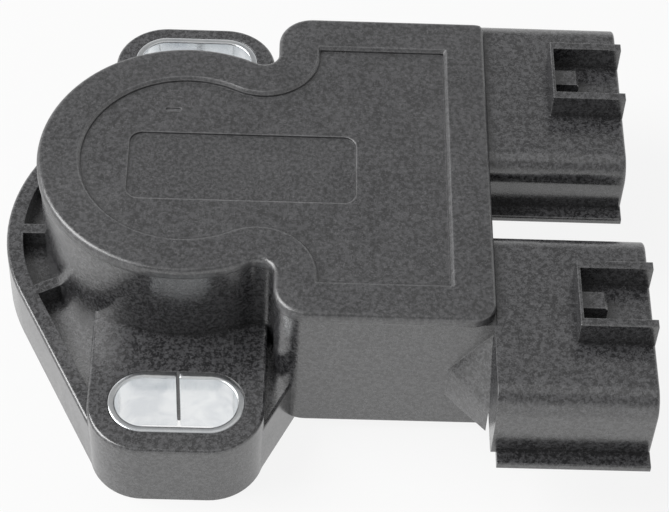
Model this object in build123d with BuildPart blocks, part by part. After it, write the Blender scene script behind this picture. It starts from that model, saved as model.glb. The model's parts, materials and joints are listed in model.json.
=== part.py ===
from build123d import *
from math import atan2, degrees, hypot, sqrt
import os

# Throttle position sensor for an engine's throttle body, in millimetres.
# The origin lies on the rotor's axis, on the mounting face that bolts to the throttle body.
# +Z points up through the cover and +X towards the open ends of the two connector sockets.

# Rotor, its bush and its lip ring, from the axis outwards
journal_radius = 4.6
bush_clearance = 0.04
bush_wall = 1.5
shoulder_step = 1.1
seal_clearance = 0.15
seal_width = 1.6
boss_wall = 1.2
drive_slot_width = 3.0
drive_slot_length = 7.0
drive_slot_depth = 5.0
drive_slot_lead = 0.4

# Return spring around the bush's boss
spring_wire = 0.8
spring_wire_sides = 6
spring_clearance = 0.6
spring_turns = 3.25
spring_pitch = 1.1
spring_lift = 0.3
spring_bend = 0.8
spring_foot = 1.4
spring_hole_clearance = 0.1

# Contact disc and stop lug of the rotor
disc_margin = 0.6
disc_thickness = 2.0
lug_height = 1.1
lug_angle = 14.0
running_gap = 0.3
rotor_travel = 100.0
rotor_rest_angle = 120.0
stop_angle = 7.0
stop_gap_angle = 1.0

# Walls of the hub and the case, and the cover's overhang
case_wall = 2.75
rim_wall = 2.0
cover_overhang = 0.2

# Key-shaped plan of the case, as the cover shows it
case_left = 9.2
case_length = 21.7
case_half_width = 19.9
case_corner_share = 0.69
case_edge = 0.4
neck_radius = 1.6

# Levels above the mounting face
case_bottom = 1.2
recess_depth = 2.0
ring_space = 1.4
bush_length = 4.6
seal_height = 1.6
hub_floor = 6.0
case_floor = 9.0
disc_lift = 11.0
board_level = 15.0
board_thickness = 1.0
rim_height = 17.95
cover_thickness = 1.15

# Mounting face
recess_margin = 0.4
groove_land = 2.0
groove_width = 2.2
mounting_seal_section = 1.8
mounting_seal_bevel = 0.4

# Flange: round wings, and the bolt pads on its two ears
wing_ledge = 3.9
wing_height = 6.7
wing_rim = 1.7
wing_edge = 0.35
pocket_floor = 2.6
pocket_rib = 1.2
pocket_rib_angles = (152.0, 180.0, 208.0)
slot_spacing = 46.0
pad_height = 8.55
pad_edge = 0.35
ear_half_width = 8.8
ear_corner = 5.6
front_ear_margin = 5.9
rear_ear_margin = 5.1
ear_step = 0.1

# Bolt slots, lined with rolled steel sleeves
slot_width = 5.8
slot_length = 12.1
sleeve_wall = 0.75
sleeve_seam = 0.3

# Cover
cover_edge = 0.5
cover_clearance = 0.05
panel_share = 0.85
panel_depth = 0.5
panel_bevel = 0.3
label_length = 23.1
label_width = 8.8
label_x = 5.75
label_y = -0.9
label_corner = 1.3
label_depth = 0.2
tick_length = 1.6
tick_width = 0.4
tick_depth = 0.1
tick_x = -1.55
tick_y = 6.7
plug_clearance = 0.1
plug_wall = 1.0
plug_gap = 0.05
bead_width = 0.8
bead_height = 0.8
bead_setback = 0.6
bead_clearance = 0.05

# Connector sockets
socket_width = 21.2
socket_height = 8.8
socket_top = 18.2
socket_corner = 2.4
socket_foot_corner = 0.8
socket_wall = 1.3
socket_depth = 10.7
rear_socket_y = 10.95
rear_socket_reach = 14.4
rear_rail_level = 11.9
front_socket_y = -18.3
front_socket_reach = 15.4
front_rail_level = 9.9
rail_thickness = 0.8
rail_projection = 1.6
rail_setback = 0.5
rail_edge = 0.2
mouth_edge = 0.3
mouth_lead = 0.3
guard_length = 7.5
guard_height = 2.8
guard_wall = 0.9
guard_back = 0.35
guard_spacing = 7.0
guard_offset = 0.7
guard_edge = 0.12
lock_length = 2.6
lock_width = 2.0
lock_height = 1.6
lock_ramp = 0.3

# Gusset between the case's front wall and the front socket
gusset_along = 4.0
gusset_out = 4.2
gusset_bottom = 6.2
gusset_wall_top = 10.7
gusset_peak = 16.5

# Moulded-in terminals
blade_width = 2.3
blade_thickness = 0.64
blade_pitch = 5.0
blade_reach = 6.4
blade_bevel = 0.2
lead_width = 1.0
lead_pitch = 3.0
lead_middle = 10.5
leg_setback = 5.5
leg_top = 0.6
leg_clearance = 0.1

# Track board and its printed arcs
board_clearance = 0.2
track_thickness = 0.1
track_width = 1.6
track_margin_angle = 10.0
pad_angle = 16.0
post_radius = 1.5
stake_radius = 0.8
stake_head = 0.5
stake_head_height = 0.35
stake_clearance = 0.05
post_inset = 3.0

# Wipers on the contact disc
wiper_sheet = 0.2
wiper_inner = 6.4
wiper_finger = 1.0
wiper_base_width = 2.2
wiper_contact = 2.6
wiper_tip = 0.6
wiper_air = 0.05
wiper_stake_radius = 0.4

# Ring and washer that keep the rotor in the bush
ring_groove_depth = 0.7
ring_thickness = 0.6
ring_width = 2.0
ring_float = 0.05
ring_mouth = 5.0
washer_thickness = 0.3
washer_width = 1.8
washer_clearance = 0.15

# Hollow under the case
core_wall = 2.7
core_roof = 2.2
core_rib = 1.6

# Radii that follow from the rotor outwards
bush_inner = journal_radius + bush_clearance
bush_outer = bush_inner + bush_wall
shoulder_radius = journal_radius + shoulder_step
seal_inner = shoulder_radius + seal_clearance
seal_outer = seal_inner + seal_width
boss_radius = seal_outer + boss_wall
coil_radius = boss_radius + spring_clearance + spring_wire / 2
disc_radius = coil_radius + spring_wire / 2 + disc_margin
stop_radius = disc_radius + running_gap
lug_radius = disc_radius + lug_height
cavity_radius = lug_radius + running_gap
hub_wall_radius = cavity_radius + case_wall
hub_radius = hub_wall_radius + cover_overhang
flange_radius = hub_radius + wing_ledge

# Levels and places that follow
bush_level = recess_depth + ring_space
bush_top = bush_level + bush_length
boss_top = bush_top + seal_height
disc_top = disc_lift + disc_thickness
board_top = board_level + board_thickness
track_level = board_level - track_thickness
cover_top = rim_height + cover_thickness
recess_radius = boss_radius + recess_margin
groove_inner = recess_radius + groove_land
groove_outer = groove_inner + groove_width
case_right = case_left + case_length
wall_right = case_right - cover_overhang
wall_front = -case_half_width + cover_overhang
cavity_inset = cover_overhang + case_wall
rim_inset = cover_overhang + rim_wall
cavity_right = case_right - cavity_inset
neck_x = case_left - neck_radius
neck_y = sqrt((hub_radius + neck_radius) ** 2 - neck_x**2)
neck_angle = degrees(atan2(neck_y, neck_x))
shoulder_height = case_half_width - neck_y
case_left_corner = case_corner_share * shoulder_height
panel_border = panel_share * shoulder_height
front_ear_end = slot_spacing / 2 + front_ear_margin
rear_ear_end = slot_spacing / 2 + rear_ear_margin
ear_length = front_ear_end + rear_ear_end
ear_middle = (rear_ear_end - front_ear_end) / 2
socket_middle = socket_top - socket_height / 2
sockets = (
    (rear_socket_y, rear_socket_reach, rear_rail_level),
    (front_socket_y, front_socket_reach, front_rail_level),
)
sleeve_length = slot_length + 2 * sleeve_wall
sleeve_width = slot_width + 2 * sleeve_wall
leg_x = cavity_right - leg_setback
posts = (
    (case_left + cavity_inset + post_inset, -case_half_width + cavity_inset + post_inset),
    (case_left + cavity_inset + post_inset, case_half_width - cavity_inset - post_inset),
    (cavity_right - post_inset, 0),
)
groove_radius = journal_radius - ring_groove_depth
ring_level = bush_level - washer_thickness - ring_float - ring_thickness
rotor_end = recess_depth + ring_float

# Where the wiper's fingers meet the tracks
wiper_outer = disc_radius - disc_margin
finger_rows = (wiper_inner + wiper_finger / 2, wiper_outer - wiper_finger / 2)
inner_track = hypot(finger_rows[0], wiper_contact)
outer_track = hypot(finger_rows[1], wiper_contact)
contact_angle = degrees(atan2(wiper_contact, finger_rows[1]))
track_start = rotor_rest_angle + contact_angle - track_margin_angle
track_sweep = rotor_travel + 2 * track_margin_angle

os.makedirs("parts", exist_ok=True)


def write(piece, name):
    """Label a finished piece and write it out under the same name."""
    piece.label = name
    export_step(piece, f"parts/{name}.step")


def case_outline(inset):
    """Key-shaped outline on the XY plane, drawn in from the cover's edge."""
    side = case_half_width - inset
    with BuildSketch() as outline:
        with BuildLine() as edge:
            Polyline(
                (case_right - inset, 0),
                (case_right - inset, side),
                (case_left + inset, side),
                (case_left + inset, neck_y),
            )
            CenterArc((neck_x, neck_y), neck_radius + inset, 0, neck_angle - 180)
            CenterArc((0, 0), hub_radius - inset, neck_angle, 180 - neck_angle)
            mirror(edge.line, about=Plane.XZ)
        make_face()
        rows = outline.vertices().group_by(Axis.Y)
        corners = ShapeList([*rows[0], *rows[-1]]).group_by(Axis.X)
        if case_left_corner > inset:
            fillet(corners[0], case_left_corner - inset)
    return outline.sketch


def case_plan(inset, level):
    """Key-shaped face at a level, drawn in from the cover's edge."""
    with BuildSketch(Plane.XY.offset(level)) as plan:
        add(case_outline(inset))
    return plan.sketch


def case_band(outer_inset, inner_inset, level):
    """Band that follows the key-shaped outline between two insets."""
    with BuildSketch(Plane.XY.offset(level)) as band:
        add(case_outline(outer_inset))
        add(case_outline(inner_inset), mode=Mode.SUBTRACT)
    return band.sketch


def ring_plan(outer, inner, level):
    """Flat ring about the rotor's axis."""
    with BuildSketch(Plane.XY.offset(level)) as ring:
        Circle(outer)
        Circle(inner, mode=Mode.SUBTRACT)
    return ring.sketch


def arc_band(outer, inner, start, sweep, level):
    """Flat arc about the rotor's axis, between two radii."""
    with BuildSketch(Plane.XY.offset(level)) as band:
        with BuildLine():
            outside = CenterArc((0, 0), outer, start, sweep)
            inside = CenterArc((0, 0), inner, start, sweep)
            Line(outside @ 0, inside @ 0)
            Line(outside @ 1, inside @ 1)
        make_face()
    return band.sketch


def disc_plan(radius, level):
    """Round face about the rotor's axis."""
    with BuildSketch(Plane.XY.offset(level)) as disc:
        Circle(radius)
    return disc.sketch


def flange_outline(inset):
    """Round wings drawn tight over both ears, a step inside their corners."""
    with BuildSketch() as outline:
        Circle(flange_radius - inset)
        with Locations((0, ear_middle)):
            with GridLocations(2 * (ear_half_width - ear_corner), ear_length - 2 * ear_corner, 2, 2):
                Circle(ear_corner - ear_step - inset)
        make_hull()
    return outline.sketch


# Path of the return spring's wire: a coil, bent down into the housing and up into the disc
coil_start = hub_floor + spring_lift + spring_wire / 2
foot_bottom = hub_floor - spring_foot + spring_hole_clearance
foot_top = disc_lift + spring_foot - spring_hole_clearance
spring_feet = []
with BuildLine() as spring_path:
    coil = Helix(
        pitch=spring_pitch,
        height=spring_pitch * spring_turns,
        radius=coil_radius,
        center=(0, 0, coil_start),
    )
    for end, heading, foot_z in (
        (coil @ 0, -(coil % 0), foot_bottom),
        (coil @ 1, coil % 1, foot_top),
    ):
        upright = Vector(0, 0, foot_z - end.Z).normalized()
        with BuildLine(Plane(end, x_dir=heading, z_dir=heading.cross(upright))):
            bend = JernArc((0, 0), (1, 0), spring_bend, heading.get_angle(upright))
        foot = bend @ 1
        Line(foot, (foot.X, foot.Y, foot_z))
        spring_feet.append((foot.X, foot.Y))

# Terminals: a blade in the socket, a lead through the wall, and a leg up through the board
terminals = []
for socket_name, (socket_y, reach, rail), side in zip(("position", "switch"), sockets, (1, -1)):
    socket_end = wall_right + reach
    socket_back = socket_end - socket_depth
    for index in range(3):
        blade_y = socket_y + (index - 1) * blade_pitch
        lead_y = side * lead_middle + (index - 1) * lead_pitch
        with BuildPart() as terminal:
            with BuildSketch(Plane.XY.offset(socket_middle - blade_thickness / 2)):
                with Locations((socket_back + blade_reach / 2, blade_y)):
                    Rectangle(blade_reach, blade_width)
                with BuildLine():
                    Polyline(
                        (leg_x, lead_y - lead_width / 2),
                        (cavity_right, lead_y - lead_width / 2),
                        (socket_back, blade_y - lead_width / 2),
                        (socket_back, blade_y + lead_width / 2),
                        (cavity_right, lead_y + lead_width / 2),
                        (leg_x, lead_y + lead_width / 2),
                        close=True,
                    )
                make_face()
            extrude(amount=blade_thickness)
            tip = terminal.faces().sort_by(Axis.X)[-1]
            chamfer(tip.edges(), blade_bevel)
            with BuildSketch(Plane.XY.offset(socket_middle - blade_thickness / 2)):
                with Locations((leg_x + blade_thickness / 2, lead_y)):
                    Rectangle(blade_thickness, lead_width)
            extrude(amount=board_top + leg_top - socket_middle + blade_thickness / 2)
        terminals.append((terminal.part, lead_y))
        write(terminal.part, f"{socket_name}_terminal_{index + 1}")

# Gusset: a standing corner wall under a three-cornered slope
with BuildPart() as gusset:
    with BuildSketch(Plane.XY.offset(gusset_bottom)):
        with BuildLine():
            Polyline(
                (wall_right - gusset_along, wall_front),
                (wall_right, wall_front - gusset_out),
                (wall_right, wall_front),
                close=True,
            )
        make_face()
    extrude(amount=gusset_peak - gusset_bottom)
    slope = Plane(
        origin=(wall_right, wall_front, gusset_peak),
        z_dir=(-1 / gusset_along, -1 / gusset_out, 1 / (gusset_peak - gusset_wall_top)),
    )
    split(bisect_by=slope, keep=Keep.BOTTOM)

# Sockets: open shells with side rails, latch guards and lock blocks
socket_pieces = []
for socket_y, reach, rail in sockets:
    socket_end = wall_right + reach
    with BuildPart() as shell:
        with BuildSketch(Plane.YZ.offset(wall_right)) as shell_plan:
            with Locations((socket_y, socket_middle)):
                Rectangle(socket_width, socket_height)
            fillet(shell_plan.vertices().group_by(Axis.Y)[-1], socket_corner)
            fillet(shell_plan.vertices().group_by(Axis.Y)[0], socket_foot_corner)
        extrude(amount=reach)
        fillet(shell.edges().group_by(Axis.X)[-1], mouth_edge)
        with BuildSketch(Plane.YZ.offset(socket_end)) as mouth:
            with Locations((socket_y, socket_middle)):
                Rectangle(socket_width - 2 * socket_wall, socket_height - 2 * socket_wall)
            fillet(mouth.vertices().group_by(Axis.Y)[-1], socket_corner - socket_wall)
        extrude(amount=-socket_depth, mode=Mode.SUBTRACT)
        chamfer(shell.faces().sort_by(Axis.X)[-1].inner_wires()[0].edges(), mouth_lead)
    with BuildPart() as rails:
        with BuildSketch(Plane.YZ.offset(socket_end)):
            with Locations((socket_y, rail)):
                Rectangle(socket_width + 2 * rail_projection, rail_thickness)
                Rectangle(socket_width - socket_wall, rail_thickness, mode=Mode.SUBTRACT)
        extrude(amount=rail_setback - reach)
        fillet(rails.edges().filter_by(Axis.X).group_by(Axis.Y)[0], rail_edge)
        fillet(rails.edges().filter_by(Axis.X).group_by(Axis.Y)[-1], rail_edge)
    guard_y = socket_y + guard_offset
    with BuildPart() as guard:
        with BuildSketch(Plane.XY.offset(socket_top - guard_wall / 2)):
            with Locations((socket_end - guard_length / 2, guard_y)):
                Rectangle(guard_length, guard_spacing + guard_wall)
            with Locations((socket_end, guard_y)):
                Rectangle(
                    guard_length - guard_back,
                    guard_spacing - guard_wall,
                    align=(Align.MAX, Align.CENTER),
                    mode=Mode.SUBTRACT,
                )
        extrude(amount=guard_height + guard_wall / 2)
        fillet(guard.edges().group_by(Axis.Z)[-1], guard_edge)
    with BuildPart() as lock:
        with BuildSketch(Plane.XZ.offset(-guard_y)):
            with BuildLine():
                lock_back = socket_end - guard_length + guard_back / 2
                lock_front = socket_end - guard_length + guard_back + lock_length
                Polyline(
                    (lock_back, socket_top - socket_wall / 2),
                    (lock_front, socket_top - socket_wall / 2),
                    (lock_front, socket_top + lock_height - lock_ramp),
                    (lock_front - lock_ramp, socket_top + lock_height),
                    (lock_back, socket_top + lock_height),
                    close=True,
                )
            make_face()
        extrude(amount=lock_width / 2, both=True)
    with BuildPart() as socket:
        add(shell.part)
        add(rails.part)
        add(guard.part)
        add(lock.part)
    socket_pieces.append(socket.part)

# Case block, rounded along its lower edge
with BuildPart() as case_block:
    extrude(case_plan(cover_overhang, case_bottom), amount=rim_height - case_bottom)
    fillet(case_block.edges().group_by(Axis.Z)[0], case_edge)

# Bolt pads on the two ears, joined under the hub
with BuildPart() as pads:
    with BuildSketch():
        with Locations((0, ear_middle)):
            RectangleRounded(2 * ear_half_width, ear_length, ear_corner)
    extrude(amount=pad_height)
    fillet(pads.edges().group_by(Axis.Z)[-1], pad_edge)

# Housing: flange, hub, case and sockets in one moulding
with BuildPart() as housing:
    extrude(flange_outline(0), amount=wing_height)
    fillet(housing.edges().group_by(Axis.Z)[-1], wing_edge)
    with BuildSketch(Plane.XY.offset(pocket_floor)):
        add(flange_outline(wing_rim))
        with Locations((-ear_half_width, ear_middle)):
            Rectangle(
                2 * flange_radius, ear_length, align=(Align.MIN, Align.CENTER), mode=Mode.SUBTRACT
            )
        for angle in pocket_rib_angles:
            with Locations(Location((0, 0), angle)):
                Rectangle(
                    flange_radius, pocket_rib, align=(Align.MIN, Align.CENTER), mode=Mode.SUBTRACT
                )
    extrude(amount=wing_height, mode=Mode.SUBTRACT)

    add(pads.part)

    # Hub and case
    extrude(disc_plan(hub_wall_radius, 0), amount=rim_height)
    add(case_block.part)
    for piece in socket_pieces:
        add(piece)
    add(gusset.part)

    # Room for the cover's edge beside the sockets
    extrude(case_plan(-cover_clearance, rim_height), amount=cover_thickness, mode=Mode.SUBTRACT)

    # Room for the rotor, the board and the cover's plug
    extrude(disc_plan(cavity_radius, hub_floor), amount=rim_height - hub_floor, mode=Mode.SUBTRACT)
    extrude(case_plan(cavity_inset, case_floor), amount=rim_height - case_floor, mode=Mode.SUBTRACT)
    extrude(case_plan(rim_inset, board_level), amount=rim_height - board_level, mode=Mode.SUBTRACT)
    bead_inset = cover_overhang + bead_setback
    extrude(
        case_band(bead_inset, bead_inset + bead_width, rim_height - bead_height),
        amount=bead_height,
        mode=Mode.SUBTRACT,
    )

    # Boss for the bush and the lip ring, and the bore through it
    extrude(disc_plan(boss_radius, hub_floor), amount=boss_top - hub_floor)
    extrude(disc_plan(recess_radius, 0), amount=recess_depth, mode=Mode.SUBTRACT)
    extrude(disc_plan(seal_outer, recess_depth), amount=ring_space, mode=Mode.SUBTRACT)
    extrude(disc_plan(bush_outer, bush_level), amount=bush_length, mode=Mode.SUBTRACT)
    extrude(disc_plan(seal_outer, bush_top), amount=seal_height, mode=Mode.SUBTRACT)

    # Stops for the rotor's lug, and the hole for the spring's foot
    for stop_start in (
        rotor_rest_angle - lug_angle / 2 - stop_gap_angle - stop_angle,
        rotor_rest_angle + rotor_travel + lug_angle / 2 + stop_gap_angle,
    ):
        extrude(
            arc_band(hub_wall_radius, stop_radius, stop_start, stop_angle, hub_floor),
            amount=disc_top - hub_floor,
        )
    with BuildSketch(Plane.XY.offset(hub_floor)):
        with Locations(spring_feet[0]):
            Circle(spring_wire / 2 + spring_hole_clearance)
    extrude(amount=-spring_foot, mode=Mode.SUBTRACT)

    # Posts and stakes that hold the board
    with BuildSketch(Plane.XY.offset(case_floor)):
        with Locations(*posts):
            Circle(post_radius)
    extrude(amount=board_level - case_floor)
    with BuildSketch(Plane.XY.offset(board_level)):
        with Locations(*posts):
            Circle(stake_radius)
    extrude(amount=board_thickness)
    with BuildSketch(Plane.XY.offset(board_top)):
        with Locations(*posts):
            Circle(stake_radius + stake_head)
    extrude(amount=stake_head_height)

    # Bolt slots, seal groove, and the hollow under the case
    with BuildSketch():
        with Locations((0, -slot_spacing / 2), (0, slot_spacing / 2)):
            SlotOverall(sleeve_length, sleeve_width)
    extrude(amount=pad_height, mode=Mode.SUBTRACT)
    extrude(ring_plan(groove_outer, groove_inner, 0), amount=mounting_seal_section, mode=Mode.SUBTRACT)
    core_left = flange_radius + core_rib
    core_right = wall_right - core_wall
    with BuildSketch(Plane.XY.offset(case_bottom)):
        with Locations(((core_left + core_right) / 2, 0)):
            Rectangle(core_right - core_left, 2 * (case_half_width - cavity_inset))
            Rectangle(core_right - core_left, core_rib, mode=Mode.SUBTRACT)
    extrude(amount=case_floor - core_roof - case_bottom, mode=Mode.SUBTRACT)

    # Seats of the moulded-in terminals
    for blade, lead_y in terminals:
        add(blade, mode=Mode.SUBTRACT)
write(housing.part, "housing")

# Cover: a lid with a sunk panel, a label recess, and a plug that holds the board down
with BuildPart() as cover:
    extrude(case_plan(0, rim_height), amount=cover_thickness)
    fillet(cover.edges().group_by(Axis.Z)[-1], cover_edge)
    extrude(case_plan(panel_border, cover_top), amount=-panel_depth, mode=Mode.SUBTRACT)
    border = cover.faces().filter_by(Axis.Z).sort_by(Axis.Z)[-1]
    chamfer(border.inner_wires()[0].edges(), panel_bevel)
    with BuildSketch(Plane.XY.offset(cover_top - panel_depth)):
        with Locations((label_x, label_y)):
            RectangleRounded(label_length, label_width, label_corner)
    extrude(amount=-label_depth, mode=Mode.SUBTRACT)
    with BuildSketch(Plane.XY.offset(cover_top - panel_depth)):
        with Locations((tick_x, tick_y)):
            SlotOverall(tick_length, tick_width)
    extrude(amount=-tick_depth, mode=Mode.SUBTRACT)
    plug_inset = rim_inset + plug_clearance
    extrude(
        case_band(plug_inset, plug_inset + plug_wall, board_top + plug_gap),
        amount=rim_height - board_top - plug_gap,
    )
write(cover.part, "cover")

with BuildPart() as cover_seal:
    extrude(
        case_band(
            bead_inset + bead_clearance,
            bead_inset + bead_width - bead_clearance,
            rim_height - bead_height,
        ),
        amount=bead_height,
    )
write(cover_seal.part, "cover_seal")

# Rolled sleeves, each with its seam towards the rotor
for side, name in ((-1, "front_slot_sleeve"), (1, "rear_slot_sleeve")):
    with BuildPart() as sleeve:
        with BuildSketch():
            with Locations((0, side * slot_spacing / 2)):
                SlotOverall(sleeve_length, sleeve_width)
                SlotOverall(slot_length, slot_width, mode=Mode.SUBTRACT)
            with Locations((0, side * (slot_spacing - slot_width - sleeve_wall) / 2)):
                Rectangle(sleeve_seam, 2 * sleeve_wall, mode=Mode.SUBTRACT)
        extrude(amount=pad_height)
    write(sleeve.part, name)

# Rotor: a turned journal, a shoulder and a contact disc with a stop lug
with BuildPart() as rotor:
    with BuildSketch(Plane.XZ):
        with BuildLine():
            Polyline(
                (0, rotor_end),
                (journal_radius, rotor_end),
                (journal_radius, ring_level - ring_float),
                (groove_radius, ring_level - ring_float),
                (groove_radius, ring_level + ring_thickness + ring_float),
                (journal_radius, ring_level + ring_thickness + ring_float),
                (journal_radius, bush_top + ring_float),
                (shoulder_radius, bush_top + ring_float),
                (shoulder_radius, disc_lift),
                (disc_radius, disc_lift),
                (disc_radius, disc_top),
                (0, disc_top),
                close=True,
            )
        make_face()
    revolve(axis=Axis.Z)
    extrude(
        arc_band(lug_radius, shoulder_radius, rotor_rest_angle - lug_angle / 2, lug_angle, disc_lift),
        amount=disc_thickness,
    )
    with BuildSketch(Plane.XY.offset(rotor_end)):
        SlotOverall(drive_slot_length, drive_slot_width)
    extrude(amount=drive_slot_depth, mode=Mode.SUBTRACT)
    slot_end = rotor.faces().filter_by(Axis.Z).sort_by(Axis.Z)[0]
    chamfer(slot_end.inner_wires()[0].edges(), drive_slot_lead)
    with BuildSketch(Plane.XY.offset(disc_lift)):
        with Locations(spring_feet[1]):
            Circle(spring_wire / 2 + spring_hole_clearance)
    extrude(amount=spring_foot, mode=Mode.SUBTRACT)
    for wiper_angle in (rotor_rest_angle, rotor_rest_angle + 180):
        with BuildSketch(Plane.XY.offset(disc_top).rotated((0, 0, wiper_angle))):
            with Locations(*((row, -wiper_base_width / 2) for row in finger_rows)):
                Circle(wiper_stake_radius)
        extrude(amount=2 * wiper_sheet)
write(rotor.part, "rotor")

# Wipers: a sheet base staked to the disc, with two fingers that rise to the tracks
finger_rise = track_level - wiper_air - wiper_sheet - disc_top
for name, wiper_angle in (
    ("position_wiper", rotor_rest_angle),
    ("switch_wiper", rotor_rest_angle + 180),
):
    with BuildPart() as wiper:
        base_plane = Plane.XY.offset(disc_top).rotated((0, 0, wiper_angle))
        with BuildSketch(base_plane):
            with Locations((wiper_inner, -wiper_base_width)):
                Rectangle(wiper_outer - wiper_inner, wiper_base_width, align=(Align.MIN, Align.MIN))
            with Locations(*((row, -wiper_base_width / 2) for row in finger_rows)):
                Circle(wiper_stake_radius + stake_clearance, mode=Mode.SUBTRACT)
        extrude(amount=wiper_sheet)
        for row in finger_rows:
            side_plane = Plane(
                base_plane.from_local_coords((row - wiper_finger / 2, 0, 0)),
                x_dir=base_plane.y_dir,
                z_dir=base_plane.x_dir,
            )
            with BuildSketch(side_plane):
                with BuildLine():
                    Polyline(
                        (-wiper_sheet, 0),
                        (wiper_contact, finger_rise),
                        (wiper_contact + wiper_tip, finger_rise - wiper_sheet),
                        (wiper_contact + wiper_tip, finger_rise),
                        (wiper_contact, finger_rise + wiper_sheet),
                        (-wiper_sheet, wiper_sheet),
                        close=True,
                    )
                make_face()
            extrude(amount=wiper_finger)
    write(wiper.part, name)

# Bush, lip ring, washer and retaining ring
with BuildPart() as rotor_bush:
    extrude(ring_plan(bush_outer, bush_inner, bush_level), amount=bush_length)
write(rotor_bush.part, "rotor_bush")

with BuildPart() as rotor_seal:
    extrude(ring_plan(seal_outer, seal_inner, bush_top), amount=seal_height)
write(rotor_seal.part, "rotor_seal")

washer_inner = journal_radius + washer_clearance
with BuildPart() as thrust_washer:
    extrude(
        ring_plan(washer_inner + washer_width, washer_inner, bush_level - washer_thickness),
        amount=washer_thickness,
    )
write(thrust_washer.part, "thrust_washer")

ring_inner = groove_radius + ring_float
with BuildPart() as retaining_ring:
    with BuildSketch(Plane.XY.offset(ring_level)):
        Circle(ring_inner + ring_width)
        Circle(ring_inner, mode=Mode.SUBTRACT)
        Rectangle(2 * journal_radius, ring_mouth, align=(Align.MIN, Align.CENTER), mode=Mode.SUBTRACT)
    extrude(amount=ring_thickness)
write(retaining_ring.part, "retaining_ring")

# Return spring: wire along the path, its section drawn six-sided
with BuildPart() as return_spring:
    wire_line = spring_path.wire()
    with BuildSketch(Plane(wire_line @ 0, z_dir=wire_line % 0)) as wire_section:
        RegularPolygon(spring_wire / 2, spring_wire_sides)
    sweep(sections=wire_section.sketch, path=wire_line)
write(return_spring.part, "return_spring")

# Board over the rotor, held on the ledge and by three stakes
with BuildPart() as track_board:
    with BuildSketch(Plane.XY.offset(board_level)):
        add(case_outline(rim_inset + board_clearance))
        with Locations(*posts):
            Circle(stake_radius + stake_clearance, mode=Mode.SUBTRACT)
        with Locations(*((leg_x + blade_thickness / 2, lead_y) for blade, lead_y in terminals)):
            Rectangle(
                blade_thickness + 2 * leg_clearance, lead_width + 2 * leg_clearance, mode=Mode.SUBTRACT
            )
    extrude(amount=board_thickness)
write(track_board.part, "track_board")

# Printed arcs under the board
switch_start = track_start + 180
for name, radius, start, sweep_angle in (
    ("resistor_track", outer_track, track_start, track_sweep),
    ("collector_track", inner_track, track_start, track_sweep),
    ("switch_common_track", inner_track, switch_start, track_sweep),
    ("idle_contact", outer_track, switch_start, pad_angle),
    ("full_throttle_contact", outer_track, switch_start + track_sweep - pad_angle, pad_angle),
):
    with BuildPart() as track:
        extrude(
            arc_band(radius + track_width / 2, radius - track_width / 2, start, sweep_angle, track_level),
            amount=track_thickness,
        )
    write(track.part, name)

# Sealing ring in the mounting face's groove
seal_middle = (groove_inner + groove_outer) / 2
with BuildPart() as mounting_seal:
    extrude(
        ring_plan(seal_middle + mounting_seal_section / 2, seal_middle - mounting_seal_section / 2, 0),
        amount=mounting_seal_section,
    )
    chamfer(mounting_seal.edges().filter_by(GeomType.CIRCLE), mounting_seal_bevel)
write(mounting_seal.part, "mounting_seal")
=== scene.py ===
"""Looks of a throttle position sensor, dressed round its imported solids.

Lengths in the classes are millimetres. The origin lies on the rotor's axis at the mounting face,
+Z points up through the lid and +X towards the open ends of the two sockets.
"""

import json
import logging
from abc import ABC, abstractmethod
from dataclasses import dataclass, field
from enum import Enum
from math import cos, hypot, pi, radians, sin, sqrt
from typing import Any, Callable, Mapping

import bmesh
import bpy
from mathutils import Matrix, Vector

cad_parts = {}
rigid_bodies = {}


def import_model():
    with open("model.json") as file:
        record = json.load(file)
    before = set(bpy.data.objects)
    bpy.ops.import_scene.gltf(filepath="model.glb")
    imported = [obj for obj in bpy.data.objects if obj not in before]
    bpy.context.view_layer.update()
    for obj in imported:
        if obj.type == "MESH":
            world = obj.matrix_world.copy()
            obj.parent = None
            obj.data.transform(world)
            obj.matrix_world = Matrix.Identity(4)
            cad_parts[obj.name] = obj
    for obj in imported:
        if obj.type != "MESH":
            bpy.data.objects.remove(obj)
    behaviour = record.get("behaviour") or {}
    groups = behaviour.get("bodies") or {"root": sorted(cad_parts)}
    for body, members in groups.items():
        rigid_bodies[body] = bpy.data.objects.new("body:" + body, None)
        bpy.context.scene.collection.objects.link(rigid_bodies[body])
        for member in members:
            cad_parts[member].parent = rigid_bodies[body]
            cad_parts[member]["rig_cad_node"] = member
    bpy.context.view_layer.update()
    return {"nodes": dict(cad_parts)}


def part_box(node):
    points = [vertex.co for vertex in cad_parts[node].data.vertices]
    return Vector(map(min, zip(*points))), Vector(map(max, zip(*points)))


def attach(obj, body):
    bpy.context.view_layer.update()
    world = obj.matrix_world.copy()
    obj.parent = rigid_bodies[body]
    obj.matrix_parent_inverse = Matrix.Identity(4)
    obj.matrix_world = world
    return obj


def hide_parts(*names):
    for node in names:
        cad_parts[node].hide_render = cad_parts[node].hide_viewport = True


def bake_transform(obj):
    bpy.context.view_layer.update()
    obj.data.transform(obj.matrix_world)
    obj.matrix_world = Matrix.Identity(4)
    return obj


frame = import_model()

MM = 0.001
# Points closer than this, in millimetres, become one
MERGE = 0.001
# How far a point may lie from the place it is picked by, in millimetres
NEAR = 0.01
# Wavelength of a wave texture whose scale is 1
WAVE = pi / 10
# A mix node's sockets share their names and go by number: 0 is the share, 6 and 7 are the colours
# that it mixes, 4 and 5 the vectors
COLOUR_MIX = {"out": 2, "data_type": "RGBA"}
VECTOR_MIX = {"out": 1, "data_type": "VECTOR"}
LOG = logging.getLogger("throttle_sensor")

Pair = tuple[float, float]
Inputs = Mapping[str | int, Any]
Socket = bpy.types.NodeSocket
Tree = bpy.types.NodeTree
Piece = bpy.types.Object


class Body(Enum):
    """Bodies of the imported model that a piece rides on."""

    CASE = "case"
    ROTOR = "rotor"


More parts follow.
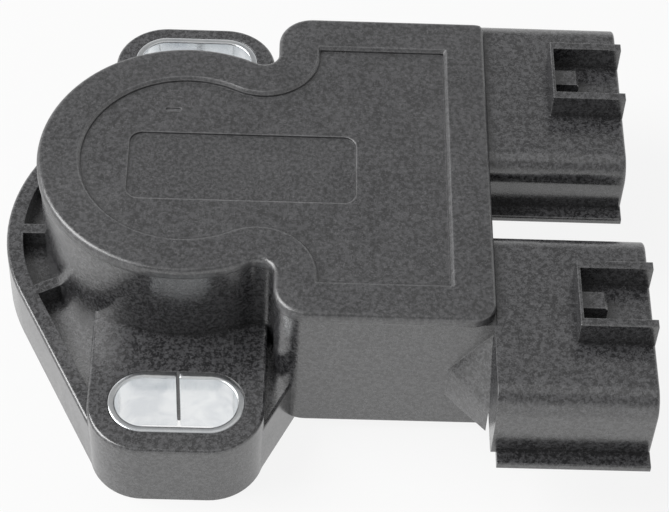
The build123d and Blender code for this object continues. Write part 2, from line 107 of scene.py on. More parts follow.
class Slot(Enum):
    """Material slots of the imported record."""

    HOUSING = "housing_plastic"
    COVER = "cover_plastic"
    RUBBER = "seal_rubber"
    SLEEVE = "sleeve_steel"
    ROTOR = "rotor_plastic"
    CONTACT = "contact_alloy"
    BUSH = "bush_bronze"
    SPRING = "spring_steel"
    BOARD = "board_laminate"
    CARBON = "carbon_ink"
    SILVER = "silver_ink"
    TIN = "terminal_tin"


class Lay(Enum):
    """Direction that rolling or drawing lines run in a metal, as a share of pattern per axis."""

    ALONG_X = (0.02, 1.0, 1.0)
    UPRIGHT = (1.0, 1.0, 0.02)
    NONE = (1.0, 1.0, 1.0)


def linear(colour: str) -> tuple[float, float, float, float]:
    """Turn an sRGB hex colour into linear light, by the standard curve.

    Args:
        colour: Colour such as "#3c3c3e".

    Returns:
        Linear red, green, blue and an alpha of 1.
    """
    shares = [int(colour[i : i + 2], 16) / 255 for i in (1, 3, 5)]
    red, green, blue = (s / 12.92 if s <= 0.04045 else ((s + 0.055) / 1.055) ** 2.4 for s in shares)
    return red, green, blue, 1.0


def per_metre(size: float) -> float:
    """Return the pattern scale whose features are about this many millimetres wide."""
    return 1.0 / (size * MM)


def read_band(band: Pair) -> dict[str, float]:
    """Return the inputs that make a node stretch this band of values over its range."""
    return {"From Min": band[0], "From Max": band[1]}


def set_inputs(tree: Tree, node: bpy.types.Node, inputs: Inputs) -> None:
    """Give a shader node its values and links.

    Args:
        tree: Node tree that holds the node.
        node: Node that gets them.
        inputs: Value or incoming socket for each input, by name or number.
    """
    for key, value in inputs.items():
        if isinstance(value, Socket):
            tree.links.new(value, node.inputs[key])
        else:
            node.inputs[key].default_value = value


def add_node(
    tree: Tree, kind: str, inputs: Inputs | None = None, out: str | int = 0, **settings: Any
) -> Socket:
    """Add one shader node with its settings and links.

    Args:
        tree: Node tree that gets the node.
        kind: Type of the shader node.
        inputs: Value or incoming socket for each input, by name or number.
        out: Name or number of the output that is used.
        settings: Attributes of the node itself.

    Returns:
        That output.
    """
    node = tree.nodes.new("ShaderNode" + kind)
    for name, value in settings.items():
        setattr(node, name, value)
    set_inputs(tree, node, inputs or {})
    return node.outputs[out]


def find_corners(tree: Tree, reach: float) -> tuple[Socket, Socket, Socket]:
    """Add the nodes that find a piece's corners.

    Args:
        tree: Node tree of the material.
        reach: Width of a corner, in millimetres.

    Returns:
        The normal with corners rounded, the face's own normal, and how far the two agree.
    """
    corner = add_node(tree, "Bevel", {"Radius": reach * MM}, samples=6)
    face = add_node(tree, "NewGeometry", out="Normal")
    match = add_node(tree, "VectorMath", {0: corner, 1: face}, out="Value", operation="DOT_PRODUCT")
    return corner, face, match


@dataclass(frozen=True)
class Finish(ABC):
    """A material, named for what it is and how its surface was made."""

    name: str
    slot: Slot

    def material(self) -> bpy.types.Material:
        """Return the finish as a material, made at its first use."""
        known = bpy.data.materials.get(self.name)
        if known is not None:
            return known
        made = bpy.data.materials.new(self.name)
        made.use_nodes = True
        tree = made.node_tree
        set_inputs(tree, tree.nodes["Principled BSDF"], self.surface(tree))
        return made

    @abstractmethod
    def surface(self, tree: Tree) -> dict[str, Any]:
        """Add the finish's nodes to a material.

        Args:
            tree: Node tree of the material.

        Returns:
            Inputs of the material's principled shader.
        """

    def dress(self, piece: Piece) -> None:
        """Put the finish on a piece or a CAD node.

        Args:
            piece: Object that is dressed.
        """
        if not piece.material_slots:
            piece.data.materials.append(self.material())
        for place in piece.material_slots:
            place.material = self.material()


@dataclass(frozen=True)
class MouldedPlastic(Finish):
    """Moulded thermoplastic, its skin printed by a spark-eroded mould.

    The eye sees a sheen broken by fine pits, short pale flecks where glass fibres reach the skin,
    slow clouds where the melt flowed, convex corners made paler, partly as handling rubs them and
    partly as a painted highlight, and painted shade that darkens the creases.
    The real pits are about a tenth of a millimetre wide and are drawn coarser, so that they show.
    """

    colour: str
    pit_and_shade_colour: str
    fleck_colour: str
    worn_and_highlight_colour: str
    roughness: float
    ior: float = 1.65
    specular: float = 1.0
    grain: float = 0.4
    grain_depth: float = 0.010
    grain_band: Pair = (0.43, 0.58)
    fleck: float = 0.22
    fleck_band: Pair = (0.6, 0.74)
    fleck_share: float = 0.35
    flow: float = 7.0
    flow_band: Pair = (0.3, 0.7)
    flow_gloss: Pair = (-0.05, 0.06)
    edge: float = 0.14
    edge_band: Pair = (0.992, 0.86)
    wear_and_highlight: float = 0.7
    crease: float = 0.8
    crease_band: Pair = (0.5, 0.9)
    crease_shade: float = 0.7

    def surface(self, tree: Tree) -> dict[str, Any]:
        """Add the pits, flecks, clouds, pale corners (rubbed, partly painted highlight) and painted shade
        in creases.

        Args:
            tree: Node tree of the material.

        Returns:
            Inputs of the material's principled shader.
        """
        place = add_node(tree, "TexCoord", out="Object")
        grain = add_node(
            tree,
            "TexNoise",
            {"Vector": place, "Scale": per_metre(self.grain), "Detail": 4.0, "Roughness": 0.75},
        )
        fleck = add_node(
            tree,
            "TexNoise",
            {"Vector": place, "Scale": per_metre(self.fleck), "Detail": 0.0, "Distortion": 1.2},
        )
        flow = add_node(
            tree,
            "TexNoise",
            {"Vector": place, "Scale": per_metre(self.flow), "Detail": 4.0, "Distortion": 0.8},
        )
        corner, face, match = find_corners(tree, self.edge)
        # Convex corners painted paler: rubbed by handling, and a painted highlight along the edges
        bare = add_node(
            tree, "MapRange", {"Value": match, "To Max": self.wear_and_highlight, **read_band(self.edge_band)}
        )
        # Occlusion marks the creases: painted shade goes there, and the pale corners keep to convex edges
        hollow = add_node(
            tree, "AmbientOcclusion", {"Distance": self.crease * MM}, out="AO", samples=8, only_local=True
        )
        clear = add_node(tree, "MapRange", {"Value": hollow, **read_band(self.crease_band)})
        rounded = add_node(tree, "Mix", {0: clear, 4: face, 5: corner}, **VECTOR_MIX)
        worn_and_highlit = add_node(tree, "Math", {0: bare, 1: clear}, operation="MULTIPLY")
        rubbed = add_node(tree, "Math", {0: worn_and_highlit, 1: flow}, operation="MULTIPLY")
        pits = add_node(tree, "MapRange", {"Value": grain, **read_band(self.grain_band)})
        # Painted shade: in creases the skin darkens towards the pit colour
        crease_darkening = add_node(tree, "MapRange", {"Value": clear, "To Min": 1 - self.crease_shade})
        lift = add_node(tree, "Math", {0: pits, 1: crease_darkening}, operation="MULTIPLY")
        glints = add_node(
            tree, "MapRange", {"Value": fleck, "To Max": self.fleck_share, **read_band(self.fleck_band)}
        )
        skin = add_node(
            tree, "Mix", {0: lift, 6: linear(self.pit_and_shade_colour), 7: linear(self.colour)}, **COLOUR_MIX
        )
        # Pale glass flecks, then the pale corners, rubbed and partly painted highlight
        for share, colour in ((glints, self.fleck_colour), (rubbed, self.worn_and_highlight_colour)):
            skin = add_node(tree, "Mix", {0: share, 6: skin, 7: linear(colour)}, **COLOUR_MIX)
        low, high = (self.roughness + change for change in self.flow_gloss)
        gloss = add_node(
            tree,
            "MapRange",
            {"Value": flow, "To Min": low, "To Max": high, **read_band(self.flow_band)},
        )
        relief = add_node(
            tree,
            "Bump",
            {"Strength": 1.0, "Distance": self.grain_depth * MM, "Height": grain, "Normal": rounded},
        )
        return {
            "Base Color": skin,
            "Roughness": gloss,
            "Normal": relief,
            "IOR": self.ior,
            "Specular IOR Level": self.specular,
        }


@dataclass(frozen=True)
class WroughtMetal(Finish):
    """Metal that was rolled or drawn, then plated, tempered or left bright.

    The eye sees a metallic sheen drawn out along the working lines, clouds in the plating, and
    corners where the metal shows brighter.
    """

    colour: str
    cloud_colour: str
    edge_colour: str
    roughness: float
    lay: Lay
    line: float = 0.16
    line_depth: float = 0.004
    line_band: Pair = (0.3, 0.7)
    line_gloss: Pair = (-0.07, 0.09)
    cloud: float = 2.4
    cloud_band: Pair = (0.36, 0.66)
    edge: float = 0.1
    edge_band: Pair = (0.99, 0.82)
    edge_share: float = 0.8

    def surface(self, tree: Tree) -> dict[str, Any]:
        """Add the working lines, the clouds and the bright corners.

        Args:
            tree: Node tree of the material.

        Returns:
            Inputs of the material's principled shader.
        """
        place = add_node(tree, "TexCoord", out="Object")
        drawn = add_node(tree, "Mapping", {"Vector": place, "Scale": self.lay.value})
        lines = add_node(
            tree,
            "TexNoise",
            {"Vector": drawn, "Scale": per_metre(self.line), "Detail": 3.0, "Roughness": 0.65},
        )
        cloud = add_node(
            tree,
            "TexNoise",
            {"Vector": place, "Scale": per_metre(self.cloud), "Detail": 3.0, "Distortion": 0.5},
        )
        corner, _, match = find_corners(tree, self.edge)
        bare = add_node(
            tree, "MapRange", {"Value": match, "To Max": self.edge_share, **read_band(self.edge_band)}
        )
        veil = add_node(tree, "MapRange", {"Value": cloud, **read_band(self.cloud_band)})
        plating = add_node(
            tree, "Mix", {0: veil, 6: linear(self.colour), 7: linear(self.cloud_colour)}, **COLOUR_MIX
        )
        skin = add_node(tree, "Mix", {0: bare, 6: plating, 7: linear(self.edge_colour)}, **COLOUR_MIX)
        low, high = (self.roughness + change for change in self.line_gloss)
        gloss = add_node(
            tree,
            "MapRange",
            {"Value": lines, "To Min": low, "To Max": high, **read_band(self.line_band)},
        )
        relief = add_node(
            tree,
            "Bump",
            {"Strength": 1.0, "Distance": self.line_depth * MM, "Height": lines, "Normal": corner},
        )
        return {"Base Color": skin, "Roughness": gloss, "Normal": relief, "Metallic": 1.0}


@dataclass(frozen=True)
class SinteredMetal(Finish):
    """Powder metal pressed and sintered, its pores full of oil.

    The eye sees a dull metal pricked with dark pores, under a thin wet gloss of oil.
    """

    colour: str
    pore_colour: str
    roughness: float
    pore: float = 0.28
    pore_depth: float = 0.02
    pore_band: Pair = (0.12, 0.34)
    pore_dullness: float = 0.2
    oil: float = 0.35
    oil_roughness: float = 0.12

    def surface(self, tree: Tree) -> dict[str, Any]:
        """Add the pores and the oil.

        Args:
            tree: Node tree of the material.

        Returns:
            Inputs of the material's principled shader.
        """
        place = add_node(tree, "TexCoord", out="Object")
        cells = add_node(tree, "TexVoronoi", {"Vector": place, "Scale": per_metre(self.pore)})
        pores = add_node(tree, "MapRange", {"Value": cells, **read_band(self.pore_band)})
        skin = add_node(
            tree, "Mix", {0: pores, 6: linear(self.pore_colour), 7: linear(self.colour)}, **COLOUR_MIX
        )
        gloss = add_node(
            tree,
            "MapRange",
            {"Value": pores, "To Min": self.roughness + self.pore_dullness, "To Max": self.roughness},
        )
        relief = add_node(
            tree, "Bump", {"Strength": 1.0, "Distance": self.pore_depth * MM, "Height": pores}
        )
        return {
            "Base Color": skin,
            "Roughness": gloss,
            "Normal": relief,
            "Metallic": 1.0,
            "Coat Weight": self.oil,
            "Coat Roughness": self.oil_roughness,
        }


@dataclass(frozen=True)
class MouldedRubber(Finish):
    """Nitrile rubber from a ground mould.

    The eye sees a soft black with hardly any shine, and a grey bloom that lies in clouds.
    """

    colour: str
    bloom_colour: str
    roughness: float
    ior: float = 1.52
    bloom: float = 3.0
    bloom_band: Pair = (0.45, 0.75)
    bloom_share: float = 0.5
    bloom_dullness: float = 0.3
    grain: float = 0.2
    grain_depth: float = 0.008

    def surface(self, tree: Tree) -> dict[str, Any]:
        """Add the bloom and the mould's grain.

        Args:
            tree: Node tree of the material.

        Returns:
            Inputs of the material's principled shader.
        """
        place = add_node(tree, "TexCoord", out="Object")
        bloom = add_node(
            tree,
            "TexNoise",
            {"Vector": place, "Scale": per_metre(self.bloom), "Detail": 5.0, "Roughness": 0.7},
        )
        grain = add_node(
            tree, "TexNoise", {"Vector": place, "Scale": per_metre(self.grain), "Detail": 2.0}
        )
        dust = add_node(
            tree, "MapRange", {"Value": bloom, "To Max": self.bloom_share, **read_band(self.bloom_band)}
        )
        skin = add_node(
            tree, "Mix", {0: dust, 6: linear(self.colour), 7: linear(self.bloom_colour)}, **COLOUR_MIX
        )
        gloss = add_node(
            tree,
            "MapRange",
            {"Value": dust, "To Min": self.roughness, "To Max": self.roughness + self.bloom_dullness},
        )
        relief = add_node(
            tree, "Bump", {"Strength": 1.0, "Distance": self.grain_depth * MM, "Height": grain}
        )
        return {"Base Color": skin, "Roughness": gloss, "Normal": relief, "IOR": self.ior}


@dataclass(frozen=True)
class GlassLaminate(Finish):
    """Woven glass in resin under a green lacquer.

    The eye sees the cloth's over-and-under squares through a glossy clear green coat.
    """

    colour: str
    thread_colour: str
    roughness: float
    thread: float = 0.9
    thread_depth: float = 0.012
    gap_dullness: float = 0.1
    lacquer: float = 0.6
    lacquer_roughness: float = 0.1

    def surface(self, tree: Tree) -> dict[str, Any]:
        """Add the cloth and the lacquer.

        Args:
            tree: Node tree of the material.

        Returns:
            Inputs of the material's principled shader.
        """
        place = add_node(tree, "TexCoord", out="Object")
        warp, weft = (
            add_node(
                tree,
                "TexWave",
                {"Vector": place, "Scale": per_metre(self.thread) * WAVE, "Distortion": 0.4},
                out="Fac",
                bands_direction=direction,
            )
            for direction in ("X", "Y")
        )
        cloth = add_node(tree, "Math", {0: warp, 1: weft}, operation="MULTIPLY")
        skin = add_node(
            tree, "Mix", {0: cloth, 6: linear(self.colour), 7: linear(self.thread_colour)}, **COLOUR_MIX
        )
        gloss = add_node(
            tree,
            "MapRange",
            {"Value": cloth, "To Min": self.roughness + self.gap_dullness, "To Max": self.roughness},
        )
        relief = add_node(
            tree, "Bump", {"Strength": 1.0, "Distance": self.thread_depth * MM, "Height": cloth}
        )
        return {
            "Base Color": skin,
            "Roughness": gloss,
            "Normal": relief,
            "Coat Weight": self.lacquer,
            "Coat Roughness": self.lacquer_roughness,
        }


@dataclass(frozen=True)
class PrintedInk(Finish):
    """Thick ink, screen printed and fired, with the wiper's rub in it.

    The eye sees a dry speckled film with fine polished lines that run round the rotor's axis.
    """

    colour: str
    rubbed_colour: str
    roughness: float
    metallic: float
    rub: float = 0.2
    rub_band: Pair = (0.5, 0.95)
    rub_share: float = 0.6
    rub_polish: float = 0.2
    speck: float = 0.12
    film_depth: float = 0.006

    def surface(self, tree: Tree) -> dict[str, Any]:
        """Add the speckle and the rubbed lines.

        Args:
            tree: Node tree of the material.

        Returns:
            Inputs of the material's principled shader.
        """
        place = add_node(tree, "TexCoord", out="Object")
        speck = add_node(
            tree, "TexNoise", {"Vector": place, "Scale": per_metre(self.speck), "Detail": 2.0}
        )
        rings = add_node(
            tree,
            "TexWave",
            {"Vector": place, "Scale": per_metre(self.rub) * WAVE, "Distortion": 1.5, "Detail": 2.0},
            out="Fac",
            wave_type="RINGS",
            rings_direction="Z",
        )
        rubbed = add_node(
            tree, "MapRange", {"Value": rings, "To Max": self.rub_share, **read_band(self.rub_band)}
        )
        skin = add_node(
            tree, "Mix", {0: rubbed, 6: linear(self.colour), 7: linear(self.rubbed_colour)}, **COLOUR_MIX
        )
        gloss = add_node(
            tree,
            "MapRange",
            {"Value": rubbed, "To Min": self.roughness, "To Max": self.roughness - self.rub_polish},
        )
        relief = add_node(
            tree, "Bump", {"Strength": 1.0, "Distance": self.film_depth * MM, "Height": speck}
        )
        return {"Base Color": skin, "Roughness": gloss, "Normal": relief, "Metallic": self.metallic}


# Black glass-filled PBT straight from the mould: a dark charcoal with a satin sheen
HOUSING_PBT = MouldedPlastic(
    "moulded_glass_filled_pbt", Slot.HOUSING, "#555557", "#1a1a1c", "#7e7e80", "#949496", 0.2
)
# The lid's PBT comes from a coarser mould: a shade darker and drier, its corners rubbed pale, partly a
# painted highlight
COVER_PBT = MouldedPlastic(
    "moulded_pbt_lid",
    Slot.COVER,
    "#4a4a4c",
    "#111113",
    "#7e7e80",
    "#a2a2a4",
    0.32,
    grain_depth=0.014,
    edge=0.3,
    wear_and_highlight=1.0,
)
# Natural acetal: a waxy off-white, smooth from a polished mould
ROTOR_ACETAL = MouldedPlastic(
    "moulded_natural_acetal",
    Slot.ROTOR,
    "#dcd8c8",
    "#d2cdbb",
    "#e4e0d2",
    "#ece9de",
    0.38,
    ior=1.48,
    grain_depth=0.006,
    fleck_share=0.1,
)
# Zinc plate on rolled strip: bright, a little blue, streaked upwards by the rolls
SLEEVE_ZINC = WroughtMetal(
    "zinc_plated_rolled_steel", Slot.SLEEVE, "#eff1f2", "#dfe2e5", "#f8f9f9", 0.17, Lay.UPRIGHT
)
# Oil-tempered spring steel: dark grey with a straw tint
SPRING_STEEL = WroughtMetal(
    "oil_tempered_spring_steel", Slot.SPRING, "#77787b", "#67625a", "#a5a6a8", 0.34, Lay.NONE
)
# Tin over brass strip: soft white metal with drawing lines along the blade
TERMINAL_TIN = WroughtMetal(
    "tin_plated_brass_strip", Slot.TIN, "#d6d5cf", "#c5c3ba", "#e6e4dc", 0.3, Lay.ALONG_X, edge=0.06
)
# Nickel silver sheet for the wipers: pale straw, bright from the rolls
WIPER_ALLOY = WroughtMetal(
    "rolled_nickel_silver", Slot.CONTACT, "#d8cdaa", "#c7ba92", "#e8e0c6", 0.24, Lay.NONE, edge=0.04
)
# Sintered bronze soaked in oil: a dull brown gold with dark pores, slightly wet
BUSH_BRONZE = SinteredMetal("oiled_sintered_bronze", Slot.BUSH, "#b98a52", "#5f4122", 0.38)
# Moulded nitrile: a soft black that hardly shines, greyed in clouds by its bloom
SEAL_NITRILE = MouldedRubber("moulded_nitrile_rubber", Slot.RUBBER, "#242425", "#56565a", 0.5)
# Woven glass under lacquer: a glossy green with the cloth's squares in it
BOARD_LAMINATE = GlassLaminate("lacquered_glass_laminate", Slot.BOARD, "#2f6440", "#4b8259", 0.3)
# Printed carbon: a dry black film with faint polished lines
CARBON_INK = PrintedInk("printed_carbon_ink", Slot.CARBON, "#1b1b1c", "#3a3a3c", 0.62, 0.0)
# Printed silver: a matt pale metal, brighter where the wiper runs
SILVER_INK = PrintedInk("printed_silver_ink", Slot.SILVER, "#c4c3be", "#e4e4e1", 0.46, 1.0)


def start_piece(name: str, add: Callable[..., set[str]], **settings: Any) -> Piece:
    """Add a primitive with nothing else selected, name it and put its place in its mesh.

    Args:
        name: Name of the piece.
        add: Operator that adds the primitive.
        settings: Sizes and place of the primitive, in metres.

    Returns:
        The piece, at the origin, unturned and unscaled.
    """
    bpy.ops.object.select_all(action="DESELECT")
    add(**settings)
    piece = bpy.context.object
    piece.name = name
    piece.data.name = name
    bpy.ops.object.transform_apply(location=True, rotation=True, scale=True)
    return piece


def select_points(piece: Piece, wanted: Callable[[Vector], bool]) -> None:
    """Select a piece's points by their place, in edit mode, with the edges and faces between them.

    Args:
        piece: Piece that is edited.
        wanted: Test of a point's place in millimetres.
    """
    bpy.ops.mesh.select_mode(type="VERT")
    bpy.ops.mesh.select_all(action="DESELECT")
    mesh = bmesh.from_edit_mesh(piece.data)
    for point in mesh.verts:
        point.select_set(wanted(point.co / MM))
    mesh.select_flush_mode()
    bmesh.update_edit_mesh(piece.data)


def draw_out(steps: tuple[Pair, ...], height: float, centre: Vector) -> None:
    """Draw the selected face out along Z in tapering steps, in edit mode.

    Args:
        steps: Share of the height and taper of each step.
        height: Whole height in millimetres, negative where it hangs.
        centre: Point that the taper shrinks to, in metres.
    """
    for share, taper in steps:
        rise = (0, 0, share * height * MM)
        bpy.ops.mesh.extrude_region_move(TRANSFORM_OT_translate={"value": rise})
        bpy.ops.transform.resize(value=(taper, taper, 1), center_override=centre)


def finish_mesh(piece: Piece, angle: float = 30.0) -> None:
    """Merge a piece's doubles, turn its faces outwards and smooth it.

    Args:
        piece: Piece in object mode.
        angle: Steepest turn that is shaded smooth, in degrees.
    """
    bpy.ops.object.mode_set(mode="EDIT")
    bpy.ops.mesh.select_all(action="SELECT")
    bpy.ops.mesh.remove_doubles(threshold=MERGE * MM)
    bpy.ops.mesh.normals_make_consistent(inside=False)
    if bmesh.from_edit_mesh(piece.data).calc_volume(signed=True) < 0:
        bpy.ops.mesh.flip_normals()
    bpy.ops.object.mode_set(mode="OBJECT")
    bpy.ops.object.shade_smooth_by_angle(angle=radians(angle))


def copy_piece(piece: Piece, name: str, move: Matrix) -> Piece:
    """Copy a piece, with a mesh of its own, to another place.

    Args:
        piece: Piece that is copied.
        name: Name of the copy.
        move: Where the copy goes, in metres.

    Returns:
        The copy, at the origin with its place in its mesh.
    """
    twin = piece.copy()
    twin.data = piece.data.copy()
    twin.name = name
    twin.data.name = name
    twin.data.transform(move)
    bpy.context.collection.objects.link(twin)
    return twin


def copy_node(node: str, name: str) -> Piece:
    """Copy a CAD node into a new piece, its loose triangles merged into one skin.

    Args:
        node: Name of the node.
        name: Name of the piece.

    Returns:
        The piece, selected and active in object mode.
    """
    bpy.ops.object.select_all(action="DESELECT")
    piece = bpy.data.objects.new(name, frame["nodes"][node].data.copy())
    piece.data.name = name
    bpy.context.collection.objects.link(piece)
    bpy.context.view_layer.objects.active = piece
    piece.select_set(True)
    bpy.ops.mesh.customdata_custom_splitnormals_clear()
    finish_mesh(piece)
    return piece


def level_shading(piece: Piece) -> None:
    """Finish a moulded skin so that its flat faces shade flat beside their rounded edges.

    Args:
        piece: Piece in object mode.
    """
    finish_mesh(piece)
    weighted = piece.modifiers.new("flat_faces", "WEIGHTED_NORMAL")
    weighted.keep_sharp = True
    weighted.weight = 100
    bpy.ops.object.modifier_apply(modifier=weighted.name)


@dataclass
class Assembly(ABC):
    """A sub-assembly: the CAD nodes that it dresses and the pieces that it adds."""

    pieces: list[Piece] = field(default_factory=list, init=False)

    @abstractmethod
    def build(self) -> None:
        """Model the pieces and dress them and the CAD nodes."""

    def dress_nodes(self, finish: Finish, *nodes: str) -> None:
        """Put a finish on CAD nodes.

        Args:
            finish: Finish of the nodes.
            nodes: Names of the nodes.
        """
        for name in nodes:
            finish.dress(frame["nodes"][name])
            self.pieces.append(frame["nodes"][name])

    def keep(self, piece: Piece, finish: Finish, body: Body | None) -> None:
        """Dress a new piece and let it ride on its body.

        Args:
            piece: Finished piece.
            finish: Finish of the piece.
            body: Body that carries it, or None where it bends between two.
        """
        finish.dress(piece)
        if body is not None:
            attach(piece, body.value)
        self.pieces.append(piece)


@dataclass
class HousingMoulding(Assembly):
    """The housing, with shallow wing pockets and the marks that its mould leaves underneath."""

    pocket_floor: float = 2.6
    pocket_lift: float = 1.9
    case_bottom: float = 1.2
    pin_radius: float = 0.85
    pin_sides: int = 28
    pin_step: float = 0.06
    pin_rim: float = 0.12
    pin_dish: float = 0.6
    pin_places: tuple[Pair, ...] = (
        (29.1, 0.0),
        (29.1, 12.0),
        (29.1, -12.0),
        (24.0, 18.0),
        (24.0, -18.0),
    )
    gate_radius: float = 0.7
    gate_sides: int = 20
    gate_height: float = 0.5
    gate_steps: tuple[Pair, ...] = ((0.6, 0.8), (0.25, 0.75), (0.15, 0.6))
    gate_tilt: float = 14.0
    gate_smooth: float = 35.0
    gate_place: tuple[float, float, float] = (24.1, 8.4, 6.8)

    def build(self) -> None:
        """Model the housing and add the ejector marks and the gate's stub."""
        self.dress_nodes(HOUSING_PBT, "housing")
        housing = self.model_housing("housing_moulded")
        self.keep(housing, HOUSING_PBT, Body.CASE)
        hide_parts("housing")
        first = self.model_pin_mark("ejector_mark_1")
        self.keep(first, HOUSING_PBT, Body.CASE)
        start = Vector((*self.pin_places[0], 0.0))
        for number, place in enumerate(self.pin_places[1:], start=2):
            move = Matrix.Translation((Vector((*place, 0.0)) - start) * MM)
            self.keep(copy_piece(first, f"ejector_mark_{number}", move), HOUSING_PBT, Body.CASE)
        self.keep(self.model_gate("gate_stub"), HOUSING_PBT, Body.CASE)

    def model_housing(self, name: str) -> Piece:
        """Model the housing with the floors of its wing pockets raised.

        Args:
            name: Name of the piece.

        Returns:
            The housing.
        """
        piece = copy_node("housing", name)
        bpy.ops.object.mode_set(mode="EDIT")
        select_points(piece, lambda p: p.x < 0 and abs(p.z - self.pocket_floor) < NEAR)
        bpy.ops.transform.translate(value=(0, 0, self.pocket_lift * MM))
        bpy.ops.object.mode_set(mode="OBJECT")
        level_shading(piece)
        return piece

    def model_pin_mark(self, name: str) -> Piece:
        """Model the flat disc and raised ring that an ejector pin leaves.

        Args:
            name: Name of the piece.

        Returns:
            The mark on the case's lower face.
        """
        piece = start_piece(
            name,
            bpy.ops.mesh.primitive_circle_add,
            vertices=self.pin_sides,
            radius=self.pin_radius * MM,
            fill_type="NGON",
            location=Vector((*self.pin_places[0], self.case_bottom)) * MM,
        )
        bpy.ops.object.mode_set(mode="EDIT")
        bpy.ops.mesh.extrude_region_move(TRANSFORM_OT_translate={"value": (0, 0, -self.pin_step * MM)})
        bpy.ops.mesh.inset(thickness=self.pin_rim * MM)
        bpy.ops.transform.translate(value=(0, 0, self.pin_dish * self.pin_step * MM))
        bpy.ops.object.mode_set(mode="OBJECT")
        finish_mesh(piece)
        return piece

    def model_gate(self, name: str) -> Piece:
        """Model the broken stub of the gate, in the hollow under the case.

        Args:
            name: Name of the piece.

        Returns:
            The stub, which hangs from the hollow's roof.
        """
        centre = Vector(self.gate_place) * MM
        piece = start_piece(
            name,
            bpy.ops.mesh.primitive_circle_add,
            vertices=self.gate_sides,
            radius=self.gate_radius * MM,
            fill_type="NGON",
            location=centre,
        )
        bpy.ops.object.mode_set(mode="EDIT")
        draw_out(self.gate_steps, -self.gate_height, centre)
        bpy.ops.transform.rotate(value=radians(self.gate_tilt), orient_axis="X", center_override=centre)
        bpy.ops.object.mode_set(mode="OBJECT")
        finish_mesh(piece, self.gate_smooth)
        return piece


@dataclass
class CoverLid(Assembly):
    """The key-shaped lid, rounded at its right corners, and the sealing bead under its edge."""

    front_corner: float = 2.2
    rear_corner: float = 1.0
    corner_steps: int = 7

    def build(self) -> None:
        """Model the lid and dress it and its bead."""
        self.dress_nodes(COVER_PBT, "cover")
        self.dress_nodes(SEAL_NITRILE, "cover_seal")
        lid = self.model_lid("cover_moulded")
        self.keep(lid, COVER_PBT, Body.CASE)
        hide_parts("cover")

    def model_lid(self, name: str) -> Piece:
        """Model the lid with its two right corners rounded.

        Args:
            name: Name of the piece.

        Returns:
            The lid.
        """
        piece = copy_node("cover", name)
        lowest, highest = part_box("cover")
        self.round_corner(piece, highest.x / MM, lowest.y / MM, self.front_corner)
        self.round_corner(piece, highest.x / MM, highest.y / MM, self.rear_corner)
        level_shading(piece)
        return piece

    def round_corner(self, piece: Piece, right: float, side: float, radius: float) -> None:
        """Bow a square corner of the lid into an arc, with its rounded upper edge.

        Cuts across the corner give the arc its points. The map from the square to the disc then
        takes the corner's two sides to the arc.

        Args:
            piece: The lid, in object mode.
            right: Place of the right side.
            side: Place of the front or rear side.
            radius: Radius of the arc.
        """
        outward = 1 if side > 0 else -1
        middle = Vector((right - radius, side - outward * radius, 0))
        bpy.ops.object.mode_set(mode="EDIT")
        for step in range(self.corner_steps):
            reach = radius * step / self.corner_steps
            for normal in (Vector((1, 0, 0)), Vector((0, outward, 0))):
                bpy.ops.mesh.select_all(action="SELECT")
                bpy.ops.mesh.bisect(plane_co=(middle + normal * reach) * MM, plane_no=normal)
        bpy.ops.object.mode_set(mode="OBJECT")
        for point in piece.data.vertices:
            across = (point.co.x / MM - middle.x) / radius
            along = (point.co.y / MM - middle.y) * outward / radius
            if across > 0 and along > 0:
                point.co.x = (middle.x + radius * across * sqrt(1 - along**2 / 2)) * MM
                point.co.y = (middle.y + outward * radius * along * sqrt(1 - across**2 / 2)) * MM


